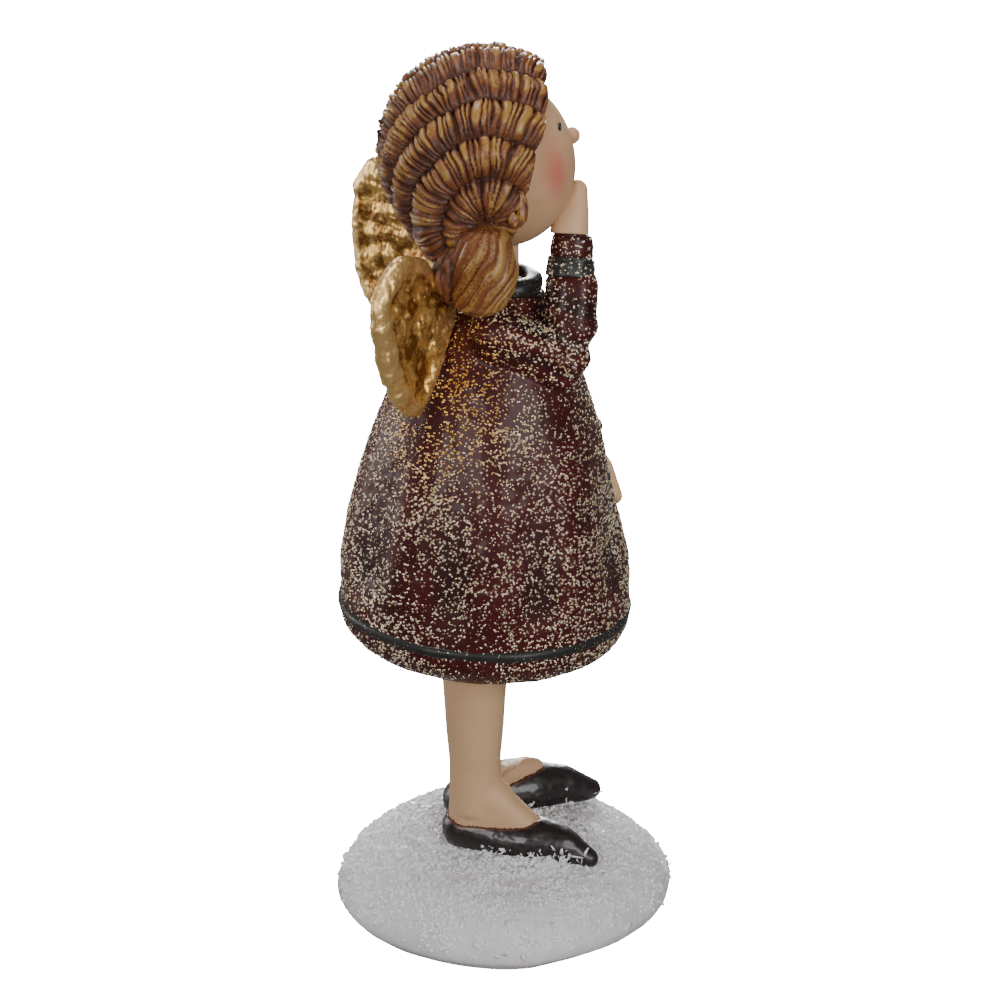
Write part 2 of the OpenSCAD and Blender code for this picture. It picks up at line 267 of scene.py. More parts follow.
def strand(path, radii, sides=6):
    """A round lock along a smooth curve, thick and thin where the radii say."""
    bpy.ops.curve.primitive_bezier_curve_add()
    piece = bpy.context.object
    curve = piece.data
    curve.splines.clear()
    line = curve.splines.new("NURBS")
    line.points.add(len(path) - 1)
    for point, place, radius in zip(line.points, path, radii):
        point.co = (*[v * MM for v in place], 1)
        point.radius = radius
    line.order_u, line.use_endpoint_u, line.resolution_u = 4, True, 8
    curve.dimensions, curve.bevel_depth, curve.bevel_resolution = "3D", MM, sides
    curve.use_fill_caps = True
    ready(piece)
    bpy.ops.object.convert(target="MESH")
    piece = bpy.context.object
    edit(piece)
    close_edit()
    return piece


print("blanks can be turned, copied from a node, rounded or drawn as a strand")

# %% Finishing a piece
def hang(piece, name, finish, slot, *nodes):
    """Names a finished piece, paints it, and hangs it on the frame."""
    ready(piece)
    bpy.ops.object.transform_apply(location=True, rotation=True, scale=True)
    bpy.ops.object.shade_smooth()
    piece.name = piece.data.name = name
    piece.data.materials.clear()
    piece.data.materials.append(finish)
    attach(piece, "root")
    if nodes:
        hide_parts(*nodes)
    print(name, len(piece.data.polygons), "faces, stands for", list(nodes) or "detail")
    return piece


print("pieces can be named, painted and hung on the frame")

# %% [markdown]
# ## Writing finishes as sums
# A finish is a small program made of nodes. To keep it readable, a node's output
# is wrapped so that it can be added and multiplied in plain Python, and each sum
# adds the Math node that it stands for.

# %% The wrapped output and the paints
class Plug:
    """One output of a node, for use in plain Python sums."""

    def __init__(self, finish, socket):
        self.finish, self.socket = finish, socket

    def sum(self, operation, a, b=0.0):
        return self.finish.node("ShaderNodeMath", {"operation": operation}, {0: a, 1: b})

    def __add__(self, other): return self.sum("ADD", self, other)
    def __radd__(self, other): return self.sum("ADD", other, self)
    def __sub__(self, other): return self.sum("SUBTRACT", self, other)
    def __rsub__(self, other): return self.sum("SUBTRACT", other, self)
    def __mul__(self, other): return self.sum("MULTIPLY", self, other)
    def __rmul__(self, other): return self.sum("MULTIPLY", other, self)
    def __gt__(self, other): return self.sum("GREATER_THAN", self, other)
    def __lt__(self, other): return self.sum("LESS_THAN", self, other)


def rgb(red, green, blue):
    """A paint colour given from 0 to 255, as the shader wants it."""
    return tuple((c / 255 / 12.92 if c / 255 <= 0.04045
                  else ((c / 255 + 0.055) / 1.055) ** 2.4)
                 for c in (red, green, blue)) + (1.0,)


print("a paint of 128 grey is", round(rgb(128, 128, 128)[0], 3), "to the shader")

# %% The finish
class Finish:
    """A material that is written with node() and sums, and set with put()."""

    def __init__(self, name, **constants):
        self.material = bpy.data.materials.new(name)
        self.material.use_nodes = True
        self.tree = self.material.node_tree
        self.shader = self.tree.nodes["Principled BSDF"]
        for socket, value in constants.items():
            self.shader.inputs[socket.replace("_", " ")].default_value = value
        self.place = self.node("ShaderNodeTexCoord", {}, {}, "Object")

    def node(self, kind, settings, sockets, output=0):
        made = self.tree.nodes.new(kind)
        stops = settings.pop("stops", None)
        for name, value in settings.items():
            setattr(made, name, value)
        if stops:
            ramp = made.color_ramp
            while len(ramp.elements) < len(stops):
                ramp.elements.new(0.5)
            for element, (where, colour) in zip(ramp.elements, stops):
                element.position, element.color = where, colour
        for key, value in sockets.items():
            found = made.inputs[key] if isinstance(key, int) else next(
                s for s in made.inputs if key in (s.identifier, s.name))
            if isinstance(value, Plug):
                self.tree.links.new(value.socket, found)
            else:
                found.default_value = value
        out = made.outputs[output] if isinstance(output, int) else next(
            s for s in made.outputs if output in (s.identifier, s.name))
        return Plug(self, out)

    def put(self, socket, value):
        """Feeds one socket of the shader with what changes over the surface."""
        self.tree.links.new(value.socket, self.shader.inputs[socket])

    def noise(self, size, detail, rough=0.5):
        """Random clouds whose lumps are size mm across."""
        return self.node("ShaderNodeTexNoise", {}, {
            "Vector": self.place, "Scale": 1 / (size * MM),
            "Detail": detail, "Roughness": rough}, "Fac")

    def cells(self, size, output="Distance"):
        """A pattern of cells size mm across."""
        return self.node("ShaderNodeTexVoronoi", {}, {
            "Vector": self.place, "Scale": 1 / (size * MM)}, output)

    def specks(self, size, share):
        """1 on small spots, one in a cell of size mm, above a share of the cells."""
        luck = self.node("ShaderNodeSeparateColor", {}, {
            "Color": self.cells(size, "Color")}, 0)
        return (self.cells(size) < 0.3) * (luck > share)

    def stored(self, name):
        """A number that mark() left on the points."""
        return self.node("ShaderNodeAttribute", {"attribute_name": name}, {}, "Fac")

    def clip(self, value, low, high):
        """Maps low..high to 0..1 with soft ends."""
        return self.node("ShaderNodeMapRange", {"interpolation_type": "SMOOTHSTEP"}, {
            "Value": value, "From Min": low, "From Max": high})

    def blend(self, share, a, b):
        """Colour a where share is 0, and b where it is 1."""
        return self.node("ShaderNodeMix", {"data_type": "RGBA"}, {
            "Factor_Float": share, "A_Color": a, "B_Color": b}, "Result_Color")

    def bump(self, height, depth, strength, below=None):
        """Raises the surface by height (0 to 1) times depth mm."""
        sockets = {"Height": height, "Distance": depth * MM, "Strength": strength}
        if below:
            sockets["Normal"] = below
        return self.node("ShaderNodeBump", {}, sockets, "Normal")

    def tell(self):
        print(self.material.name, "is mixed from", len(self.tree.nodes), "nodes")


print("finishes can be written as sums")


# %% [markdown]
# ## The snowy mound
# The mound is a smooth cast pebble, satin white, with a coat of fine snow on top
# that fades out down the sides. A smooth shader alone would look like porcelain,
# so the snow is real grains: thousands of small chips, and a few hundred thin
# flakes where the shoes were pressed in. The mound itself comes from its node,
# remeshed, with shallow hollows pushed into it and a bank raised round the shoes.

# %% Snow finishes
satin = Finish("satin_snow_resin", Coat_Weight=0.25, Coat_Roughness=0.35,
               Subsurface_Weight=0.15, Subsurface_Radius=(0.004, 0.003, 0.003))
patches = satin.noise(9, 3)
grain = satin.noise(0.5, 4, 0.7)
glints = satin.cells(0.9) < 0.1
satin.put("Base Color", satin.blend(patches, rgb(198, 197, 200), rgb(226, 221, 217)))
satin.put("Roughness", 0.5 - 0.35 * glints)
satin.put("Normal", satin.bump(grain + satin.noise(3, 2) * 1.5, 0.14, 0.8))
satin.tell()

frost = Finish("snow_grains", Coat_Weight=0.3, IOR=1.31)
frost.put("Base Color", frost.blend(frost.noise(2.5, 2),
                                    rgb(224, 221, 222), rgb(246, 246, 249)))
frost.put("Roughness", 0.2 + 0.35 * frost.noise(0.4, 2))
frost.put("Normal", frost.bump(frost.noise(0.25, 3), 0.05, 0.7))
frost.tell()

# %% The mound
MOUND_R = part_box("base_mound")[1].x
UNDERCUT = 4.0

mound = blank_from("base_mound", "snow_crust", voxel=0.45, soften=8)
co = points(mound)
hollows = 0.45 * lumps(co, 9 * MM, 3) + 0.2 * lumps(co, 3.5 * MM, 4)
upward = smooth_step(0.0, 0.8, normals(mound)[:, 2])
crumbs = upward * (0.22 * lumps(co, 0.9 * MM, 5) + 0.16 * lumps(co, 0.5 * MM, 6))
firm = smooth_step(0.3 * MM, 2.5 * MM, co[:, 2])
bank = np.zeros(len(co))
for side in ("right", "left"):
    low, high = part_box(side + "_shoe")
    mid, half = np.array((low + high) / 2), np.array((high - low) / 2)
    across = (co[:, :2] - mid[:2]) / (half[:2] + 0.6 * MM)
    rim_gap = np.hypot(across[:, 0], across[:, 1]) - 0.9
    bank = np.maximum(bank, np.exp(-(rim_gap / 0.28) ** 2))
bank *= upward * (0.7 + 0.6 * lumps(co, 2.2 * MM, 7)) \
    * np.exp(-((co[:, 1] / MM + 4) / 5.5) ** 2)
co = co + normals(mound) * ((hollows * 0.6 + crumbs + bank) * firm * MM)[:, None]
# the underside runs back a little more at the front, where the pebble was cast thin
under = smooth_step(6.5 * MM, 1.0 * MM, co[:, 2]) * smooth_step(0, -0.5, co[:, 1] / MOUND_R)
co[:, 1] += UNDERCUT * MM * under
move_to(mound, co)
hang(mound, "snow_mound", satin.material, "snow_resin", "base_mound", "snow_crust")

# %% [markdown]
# Grains and flakes repeat thousands of times, so one small chip is modelled and
# copied over the surface in one go. A dart-board choice over the triangles of the
# mound, weighted by their area, spreads the copies evenly.

# %% Choosing places on a surface
def surface_darts(piece, count, seed, keep=None):
    """Random places on a piece: points, outward normals and the random source."""
    rng = np.random.default_rng(seed)
    mesh = piece.data
    mesh.calc_loop_triangles()
    tri = np.empty(len(mesh.loop_triangles) * 3, np.int32)
    mesh.loop_triangles.foreach_get("vertices", tri)
    tri = tri.reshape(-1, 3)
    co = points(piece)
    a, b, c = co[tri[:, 0]], co[tri[:, 1]], co[tri[:, 2]]
    cross = np.cross(b - a, c - a)
    area = np.linalg.norm(cross, axis=1)
    weight = area.copy()
    if keep is not None:
        weight *= keep((a + b + c) / 3, cross / np.maximum(area, 1e-18)[:, None])
    pick = rng.choice(len(tri), count, p=weight / weight.sum())
    u, v = rng.random(count), rng.random(count)
    flip = u + v > 1
    u[flip], v[flip] = 1 - u[flip], 1 - v[flip]
    place = a[pick] + (b - a)[pick] * u[:, None] + (c - a)[pick] * v[:, None]
    return place, cross[pick] / np.maximum(area[pick], 1e-18)[:, None], rng


print("places can be chosen on a surface")

# %% Setting copies on those places
def copies_of(chip, name, place, normal, rng, size, tilt, tone):
    """One mesh made of turned and tilted copies of chip, standing on the normals."""
    count = len(place)
    n = normal + rng.normal(0, tilt, (count, 3))
    n /= np.linalg.norm(n, axis=1)[:, None]
    side = np.cross(n, rng.normal(0, 1, (count, 3)))
    side /= np.linalg.norm(side, axis=1)[:, None]
    turn = np.stack([side, np.cross(n, side), n], axis=2)
    base = points(chip)
    size = np.broadcast_to(np.asarray(size).reshape(-1, 1), (count, 1)) \
        if np.ndim(size) < 2 else size
    local = base[None, :, :] * size[:, None, :]
    co = place[:, None, :] + np.einsum("nij,nkj->nki", turn, local)
    faces = [list(p.vertices) for p in chip.data.polygons]
    mesh = bpy.data.meshes.new(name)
    every = [[v + k * len(base) for v in f] for k in range(count) for f in faces]
    mesh.from_pydata(co.reshape(-1, 3), [], every)
    piece = bpy.data.objects.new(name, mesh)
    bpy.context.scene.collection.objects.link(piece)
    mark(piece, "tone", np.repeat(tone, len(base)))
    bpy.data.objects.remove(chip)
    return piece


def prism(sides, height):
    """A small flat-sided chip, one unit across."""
    bpy.ops.mesh.primitive_circle_add(vertices=sides, radius=0.5, fill_type="NGON")
    made = bpy.context.object
    edit(made)
    bpy.ops.mesh.extrude_region_move(TRANSFORM_OT_translate={"value": (0, 0, height)})
    return made


print("copies can be set on those places")

# %% Snow grains
GRAINS = 9000
bpy.ops.mesh.primitive_ico_sphere_add(subdivisions=1, radius=0.5)
chip = bpy.context.object
move_to(chip, points(chip) * (1 + 0.35 * lumps(points(chip) + 3, 0.4, 9))[:, None])
place, normal, rng = surface_darts(
    mound, GRAINS, 11,
    lambda p, n: smooth_step(0.05, 0.75, n[:, 2]) * (0.35 + 0.65 * (lumps(p, 5 * MM, 8) > -0.1))
    * smooth_step(4 * MM, 8 * MM, p[:, 2]))
size = MM * (0.22 + 0.55 * rng.random(len(place)) ** 2)
grains = copies_of(chip, "grains", place, normal, rng, size, 0.6, rng.random(len(place)))
hang(grains, "snow_grains", frost.material, "snow")

# %% Pressed flakes
FLAKES = 800
chip = prism(5, 0.16)
close_edit(1e-5)
move_to(chip, points(chip) * (1, 0.62, 1)
        + lumps(points(chip) + 5, 0.3, 2)[:, None] * (0.12, 0.1, 0))
shoe_mid = [sum(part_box(s), Vector()) / 2 for s in ("right_shoe", "left_shoe")]


def near_shoes(p, n):
    """Thickest in a ring round each shoe."""
    reach = np.min([np.hypot(p[:, 0] - s.x, (p[:, 1] - s.y) * 0.6) for s in shoe_mid], axis=0)
    return (n[:, 2] > 0.15) * (0.16 + np.exp(-((reach - 6 * MM) / (2.6 * MM)) ** 2))


place, normal, rng = surface_darts(mound, FLAKES, 12, near_shoes)
size = MM * rng.uniform(0.5, 1.9, (len(place), 1)) * np.array([[1, 1, 0.5]])
flakes = copies_of(chip, "flakes", place, normal, rng, size, 0.8, rng.random(len(place)))
hang(flakes, "snow_flakes", frost.material, "snow")

# %% A splinter of snow
SPLINTERS = 170


def snow_splinter():
    """One long thin splinter of artificial snow, a millimetre long."""
    made = prism(5, 0.9)
    bpy.ops.transform.resize(value=(0.35, 0.5, 1), center_override=(0, 0, 0.9))
    close_edit(1e-5)
    return move_to(made, points(made) * (0.5, 0.2, 1) + (0, 0, -0.25))


print("each shoe gets", SPLINTERS, "splinters")

# %% [markdown]
# ## Legs and shoes
# The legs are bare painted resin: a flat flesh colour with a satin skin. The shoes
# are pointed slippers in near-black gloss, with the flesh of the instep showing
# and a thin brown edge where the brush did not quite reach. Both are reworked from
# their nodes; the brown edge is found by how close a point is to the leg.

# %% Skin
skin = Finish("painted_skin", Coat_Weight=0.05, Coat_Roughness=0.3, Specular_IOR_Level=0.25,
              Subsurface_Weight=0.08, Subsurface_Radius=(0.002, 0.001, 0.0006))
mottle = skin.noise(4, 3)
blush = skin.stored("blush")
flesh = skin.blend(mottle, rgb(196, 157, 119), rgb(204, 166, 129))
skin.put("Base Color", skin.blend(blush, flesh, rgb(203, 106, 94)))
skin.put("Roughness", 0.46 + 0.12 * skin.noise(1.2, 2))
skin.put("Normal", skin.bump(skin.noise(0.6, 3), 0.02, 0.35))
skin.tell()

# %% Slipper gloss and steel
slipper = Finish("slipper_gloss", Coat_Weight=0.2, Coat_Roughness=0.12)
edge = slipper.stored("edge")
worn = slipper.noise(1.1, 3)
black = slipper.blend(worn, rgb(20, 15, 16), rgb(44, 32, 31))
slipper.put("Base Color", slipper.blend(slipper.clip(edge * (worn + 0.5), 0.5, 0.85),
                                        black, rgb(84, 50, 38)))
slipper.put("Roughness", 0.28 + 0.26 * worn)
slipper.put("Normal", slipper.bump(slipper.noise(1.6, 2), 0.08, 0.5))
slipper.tell()

steel = Finish("steel_pin", Metallic=1.0)
steel.put("Base Color", steel.blend(steel.noise(0.8, 3), rgb(150, 150, 152), rgb(196, 196, 198)))
steel.put("Roughness", 0.25 + 0.25 * steel.noise(0.5, 2))
for pin in ("right_leg_rod", "left_leg_rod", "head_peg", "right_wing_peg", "left_wing_peg"):
    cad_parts[pin].data.materials.clear()
    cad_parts[pin].data.materials.append(steel.material)
steel.tell()

# %% Legs
LEG_X = 5.45
TOE_REACH = 1.4
for side in ("right", "left"):
    leg = blank_from(side + "_leg", voxel=0.28, soften=30)
    mark(leg, "blush", np.zeros(len(leg.data.vertices)))
    # the instep shows a little way over the edge of the shoe
    co = points(leg)
    ahead = -co[:, 1] / MM
    middle = smooth_step(3.4, 1.8, np.abs(np.abs(co[:, 0] / MM) - LEG_X))
    if side == "left":
        lift_by = np.interp(ahead, (0, 2, 3.6, 5, 6.6, 7.6), (0, 0.4, 1.1, 2.2, 3.5, 0))
    else:
        lift_by = np.interp(ahead, (4.3, 5.5, 6.5, 7.5, 8.3), (0, 1.5, 2.4, 3.2, 0))
    tall = co[:, 2] / MM
    new_tall = tall + lift_by * middle * smooth_step(16.5, 20, tall)
    across = np.clip((np.abs(co[:, 0] / MM) - LEG_X) / 2, -1.5, 1.5)
    if side == "left":
        roof = 22.4 + 0.27 * ahead - 0.3 * across ** 2
        new_tall = np.where((ahead > -0.4) & (tall < 25.4),
                            np.minimum(new_tall, roof), new_tall)
        ankle = 0.45 - 8 * smooth_step(25.4, 24.4, tall) - 8 * smooth_step(29, 36, tall)
        co[:, 1] = np.maximum(co[:, 1], ankle * MM)
    else:
        roof = np.interp(ahead, (5.3, 7.1, 7.8), (21.4, 21.05, 20.4)) - 0.15 * across ** 2
        new_tall = np.where(lift_by > 0.5, np.maximum(np.minimum(new_tall, roof), tall), new_tall)
        co[:, 1] += 0.7 * MM * np.exp(-((tall - 25.5) / 2.6) ** 2) * smooth_step(0, 1.5, ahead)
    co[:, 2] = new_tall * MM
    move_to(leg, co)
    hang(leg, side + "_bare_leg", skin.material, "skin", side + "_leg")

# %% Shoes and the snow that sticks to them
for side in ("right", "left"):
    shoe = blank_from(side + "_shoe", voxel=0.2, soften=5)
    leg_co = points(bpy.data.objects[side + "_bare_leg"])
    foot = leg_co[np.abs(leg_co[:, 2] - 18 * MM) < 8 * MM][::2]
    co = points(shoe)
    mark(shoe, "edge", 1 - smooth_step(0.35 * MM, 0.75 * MM, nearest(co, foot)))
    wobble = 0.08 * lumps(co, 2.6 * MM, 21) + 0.05 * lumps(co, 0.8 * MM, 22)
    move_to(shoe, co + normals(shoe) * (wobble * MM)[:, None])
    if side == "left":
        # the far toe reaches a little further over the snow
        co = points(shoe)
        co[:, 1] -= TOE_REACH * MM * smooth_step(-8, -15, co[:, 1] / MM)
        move_to(shoe, co)
    hang(shoe, side + "_slipper", slipper.material, "shoe", side + "_shoe")

    sole, toe = co[:, 2].min(), co[:, 1].min()
    place, normal, rng = surface_darts(
        shoe, SPLINTERS, 13 + len(side),
        lambda p, n: smooth_step(sole + 4.2 * MM, sole + 0.8 * MM, p[:, 2])
        * (n[:, 2] > -0.2) * (lumps(p, 2.6 * MM, 14) > -0.25)
        * (0.08 + smooth_step(toe + 3 * MM, toe + 7 * MM, p[:, 1])))
    normal = normal + (0, 0, 0.5)
    size = MM * rng.uniform(0.5, 1.9, (len(place), 1)) * rng.uniform(0.7, 1.3, (len(place), 3))
    splinters = copies_of(snow_splinter(), "splinters", place, normal, rng, size, 0.55,
                          rng.random(len(place)))
    hang(splinters, side + "_snow_splinters", frost.material, "snow")

# %% [markdown]
# ## The dress
# The dress is one casting with its sleeves: a bell that leans a little, with soft
# upright flutes, a rolled hem, and creases at the bent elbow. The skirt is turned
# from its outline, the sleeves come from their nodes, and a voxel remesh melts
# them together, which gives the soft hollow that a cast shoulder has. The flutes
# are pushed in afterwards. The lacquer is oxblood in a low satin, so that the
# glitter flashes and the cloth under it does not. It is painted near-black in the
# flute hollows, the elbow creases and the inner-elbow pit as painted shade.

# %% Dress lacquer
lacquer = Finish("oxblood_lacquer", Coat_Weight=0.06, Coat_Roughness=0.12,
                 Specular_IOR_Level=0.18)
depth = lacquer.stored("painted_hollow_shade")
cloud = lacquer.noise(7, 3)
wine = lacquer.blend(cloud, rgb(38, 15, 16), rgb(84, 26, 25))
# painted shade: the lacquer turns near-black where the stored mark is high, in the flute hollows,
# the elbow creases and the inner-elbow pit
base = lacquer.blend(lacquer.clip(depth, 0.15, 1.0), wine, rgb(22, 15, 16))
speck = lacquer.specks(0.34, 0.72)
lacquer.put("Base Color", lacquer.blend(speck, base, rgb(214, 190, 150)))
lacquer.put("Metallic", speck * 0.9)
lacquer.put("Roughness", 0.38 + 0.14 * cloud)
lacquer.put("Normal", lacquer.bump(lacquer.noise(1.4, 3), 0.1, 0.4))
lacquer.tell()


# %% The bell of the skirt
SKIRT_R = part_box("dress")[1].x / MM
HEM_Z, HEM_H, HEM_IN = 47.0, 6.0, 6.4
BELL_H, NECK_H, BELL_POWER = 56.4, 58.6, 0.72
DRESS_Y, LEAN = 3.5, radians(2.5)


def bell_radius(h):
    """Radius of the dress h mm above the underside of its hem."""
    if h < HEM_H:
        return SKIRT_R - HEM_IN + HEM_IN * (1 - (1 - h / HEM_H) ** 2) ** 0.62
    return SKIRT_R * (1 - ((h - HEM_H) / BELL_H) ** 2) ** BELL_POWER


outline = [(0.0, 1.6), (8, 1.6), (SKIRT_R - HEM_IN - 2.2, 1.2), (SKIRT_R - HEM_IN - 1.0, 0.25)]
outline += [(bell_radius(h), h) for h in np.linspace(0, HEM_H, 10)]
outline += [(bell_radius(h), h) for h in np.linspace(HEM_H + 1.2, NECK_H, 44)]
outline += [(0.0, NECK_H + 0.4)]
bell = lathe(outline, 144)


print("the bell is", round(SKIRT_R, 2), "mm in radius at the hem")

# %% Leaning the bell and melting in the sleeves
def lean(co):
    """Turns points of the upright dress to where the leaning dress stands."""
    x, y, z = co[:, 0], co[:, 1], co[:, 2]
    return np.stack([x, DRESS_Y * MM + y * cos(LEAN) - z * sin(LEAN),
                     HEM_Z * MM + y * sin(LEAN) + z * cos(LEAN)], axis=1)


def stand_up(co):
    """The opposite of lean."""
    x, y, z = co[:, 0], co[:, 1] - DRESS_Y * MM, co[:, 2] - HEM_Z * MM
    return np.stack([x, y * cos(LEAN) + z * sin(LEAN), -y * sin(LEAN) + z * cos(LEAN)], axis=1)


move_to(bell, lean(points(bell)))
sleeves = blank_from("right_sleeve", "left_sleeve", voxel=0.35, soften=2)
ready(bell, sleeves)
bpy.ops.object.join()
bell = rework(bpy.context.object, 0.36, 14)
print("bell and sleeves have", len(bell.data.vertices), "points after they are melted together")

# %% Flutes of the skirt
FLUTES, FLUTE_DEPTH = 8, 0.6
up = stand_up(points(bell)) / MM
h, around = up[:, 2], np.arctan2(up[:, 1], up[:, 0])
heights = np.linspace(0, NECK_H, 80)
turned = np.interp(h, heights, [bell_radius(v) for v in heights])
on_skirt = smooth_step(1.5, -0.6, np.hypot(up[:, 0], up[:, 1]) - turned - 0.6)
# the front of the bodice is flatter than a turned bell would be
up[:, 1] *= 1 - 0.09 * smooth_step(-4, -14, up[:, 1]) * smooth_step(8, 26, h) * on_skirt
co = lean(up * MM)
wander = around * FLUTES + 0.9 * np.sin(2 * around + 0.6) + 0.12 * np.sin(h / 7 + 3 * around)
flute = np.cos(wander)
flute = np.sign(flute) * np.abs(flute) ** 0.8
rise = smooth_step(47, 15, h) * smooth_step(8.2, 15, h)
deep = FLUTE_DEPTH * flute * rise * on_skirt
print("flutes reach", round(float(np.abs(deep).max()), 2), "mm")

# %% Sleeve creases and hollows
sleeve_share = 1 - on_skirt
elbow = np.array([-10, -7.3, 95.9])
reach = np.linalg.norm(co / MM - elbow, axis=1)
crease = np.sin(1.15 * ((co / MM) @ np.array([-0.25, 0.35, -1.0])) + 1.2 * lumps(co, 5 * MM, 31))
folds = 0.3 * crease * np.exp(-((reach - 3.5) / 5.5) ** 2) * sleeve_share
pit = np.exp(-(np.linalg.norm(co / MM - (-8.5, -4.6, 101.5), axis=1) / 3.0) ** 2)
thicker = smooth_step(-8, -11, co[:, 1] / MM) * smooth_step(97, 101, co[:, 2] / MM) \
    * smooth_step(111, 107, co[:, 2] / MM) * sleeve_share
soft = 0.12 * lumps(co, 3 * MM, 32) + 0.05 * lumps(co, 1.1 * MM, 33)
tuck = np.exp(-(np.linalg.norm(co / MM - (13, -12.5, 86.5), axis=1) / 5) ** 2)
tuck = tuck + np.exp(-(np.linalg.norm(co / MM - (-10.5, -12.8, 94), axis=1) / 2.8) ** 2)
soft = soft + 0.8 * thicker - 1.1 * pit - 1.1 * tuck
move_to(bell, co + normals(bell) * ((deep + folds + soft) * MM)[:, None])
# the flute hollows, the elbow creases and the inner-elbow pit are stored as painted shade for the
# lacquer
mark(bell, "painted_hollow_shade", smooth_step(0.5, -0.9, flute * on_skirt) * rise * 0.62
     + smooth_step(0.0, -0.6, crease) * sleeve_share * 0.6 + 0.9 * pit)
hang(bell, "dress_casting", lacquer.material, "dress", "dress", "right_sleeve", "left_sleeve")

# %% [markdown]
# ## Trimmings
# A charcoal ribbon runs round above the rolled hem, and darker rolls finish the
# neck and the cuffs. The ribbon is turned like the skirt, from a small rounded
# outline set just proud of it, because a ring taken from the skirt's own outline
# fits it at any size. The rolls are reworked from their nodes.

# %% Ribbon finish
braid = Finish("charcoal_braid", Coat_Weight=0.1, Coat_Roughness=0.2,
               Specular_IOR_Level=0.3)
spark = braid.specks(0.36, 0.8)
braid.put("Base Color", braid.blend(spark, braid.blend(braid.noise(2, 3), rgb(20, 21, 23),
                                                       rgb(52, 50, 47)), rgb(205, 190, 160)))
braid.put("Metallic", spark * 0.9)
braid.put("Roughness", 0.34 + 0.2 * braid.noise(1.2, 2))
braid.put("Normal", braid.bump(braid.noise(0.7, 3), 0.08, 0.5))
braid.tell()

# %% Foil finish
foil = Finish("glitter_foil", Metallic=1.0)
tone = foil.stored("tone")
foil.put("Base Color", foil.blend(foil.clip(tone, 0.0, 0.75), rgb(252, 240, 214),
                                  rgb(246, 194, 98)))
foil.put("Roughness", 0.18 + 0.25 * foil.noise(0.7, 1))
foil.tell()

# %% Ribbon
RIBBON_AT, RIBBON_H, RIBBON_PROUD = 6.0, 1.7, 0.5


def round_band(low, high, proud, flat=6):
    """A rounded band on the skirt between two heights in mm."""
    path = []
    for k in range(flat + 1):
        h = low + (high - low) * k / flat
        path.append((bell_radius(h) + proud * sin(pi * k / flat) ** 0.5, h))
    path += [(bell_radius(high) - 0.8, high), (bell_radius(low) - 0.8, low), path[0]]
    piece = lathe(path, 240)
    co = points(piece) / MM
    turn = np.arctan2(co[:, 1], co[:, 0])
    ripple = 1 + (0.16 * np.sin(turn * 8 + 0.9 * np.sin(2 * turn + 0.6)) +
                  0.1 * lumps(co, 3.0, 41)) / np.hypot(co[:, 0], co[:, 1])
    co[:, :2] *= ripple[:, None]
    return move_to(piece, lean(co * MM))


band_low, band_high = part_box("hem_ribbon")
print("the node of the ribbon stands from", round(band_low.z / MM, 1), "to",
      round(band_high.z / MM, 1), "mm")
ribbon = round_band(RIBBON_AT, RIBBON_AT + RIBBON_H, RIBBON_PROUD)
hang(ribbon, "hem_braid", braid.material, "ribbon", "hem_ribbon")

# %% Collar and cuffs
LEFT_CUFF_IN = 1.2
collar = blank_from("collar", voxel=0.16, soften=4)
co = points(collar)
move_to(collar, co + normals(collar) * (0.16 * lumps(co, 2.0 * MM, 42) * MM)[:, None])
hang(collar, "rolled_collar", braid.material, "ribbon", "collar")
for side in ("right", "left"):
    cuff = blank_from(side + "_cuff_band", voxel=0.12, soften=4)
    co = points(cuff)
    inward = LEFT_CUFF_IN * MM if side == "left" else 0
    move_to(cuff, co + normals(cuff) * (0.2 * lumps(co, 1.4 * MM, 43) * MM)[:, None]
            + (0, inward, 0))
    hang(cuff, side + "_cuff_braid", braid.material, "ribbon", side + "_cuff_band")

# %% [markdown]
# ## Glitter
# The glitter is what makes this dress: small hexagonal foil flakes set in the wet
# lacquer at all angles, so that each one flashes on its own. Flakes drawn by the
# shader alone would lie flat and all flash together, so one hexagon is modelled
# and strewn over the cloth as real pieces. A stored tone makes some of them pale
# champagne and some gold; by the right wing they are all gold.

# %% Strewing the foil
FOILS_A_SIDE, FOILS_A_CUFF = 8600, 170


def strew(cloth, name, count, seed, keep=None):
    """Lays foil hexagons over a piece of the dress."""
    chip = prism(6, 0.22)
    close_edit(1e-5)
    place, normal, rng = surface_darts(cloth, count, seed, keep)
    size = MM * rng.uniform(0.29, 0.44, len(place))
    gold = 0.3 * rng.random(len(place)) + 0.75 * np.exp(
        -((np.linalg.norm((place / MM - (-11, 10, 92)) / (1, 1, 1.6), axis=1)) / 8.5) ** 2)
    piece = copies_of(chip, name, place, normal, rng, size, 0.22, gold)
    return hang(piece, name, foil.material, "dress")


def in_drifts(p, n):
    """In soft drifts, and not on the underside."""
    drift = smooth_step(-1.0, 0.5, lumps(p, 6 * MM, 51) + 0.25 * lumps(p, 2 * MM, 52))
    return (0.25 + drift) * (n[:, 2] > -0.8)


strew(bell, "dress_glitter_right", FOILS_A_SIDE, 61,
      lambda p, n: in_drifts(p, n) * (p[:, 0] < 0))
strew(bell, "dress_glitter_left", FOILS_A_SIDE, 62,
      lambda p, n: in_drifts(p, n) * (p[:, 0] >= 0))
for side in ("right", "left"):
    strew(bpy.data.objects[side + "_cuff_braid"], side + "_cuff_glitter", FOILS_A_CUFF, 63)

# %% [markdown]
# ## Head and hands
# The head is a smooth egg, tipped back a little, with a round button nose, two
# small dark eyes and rosy cheeks, which are a soft oval of red dabbed on with a
# sponge. The hands are simple mittens, one held up to the mouth and one in front.

# %% Places on the face
head_low, head_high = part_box("head")
HEAD_MID = (head_low + head_high) / 2
HEAD_R, HEAD_HALF_H, HEAD_TIP = 11.4, 12.9, radians(15)


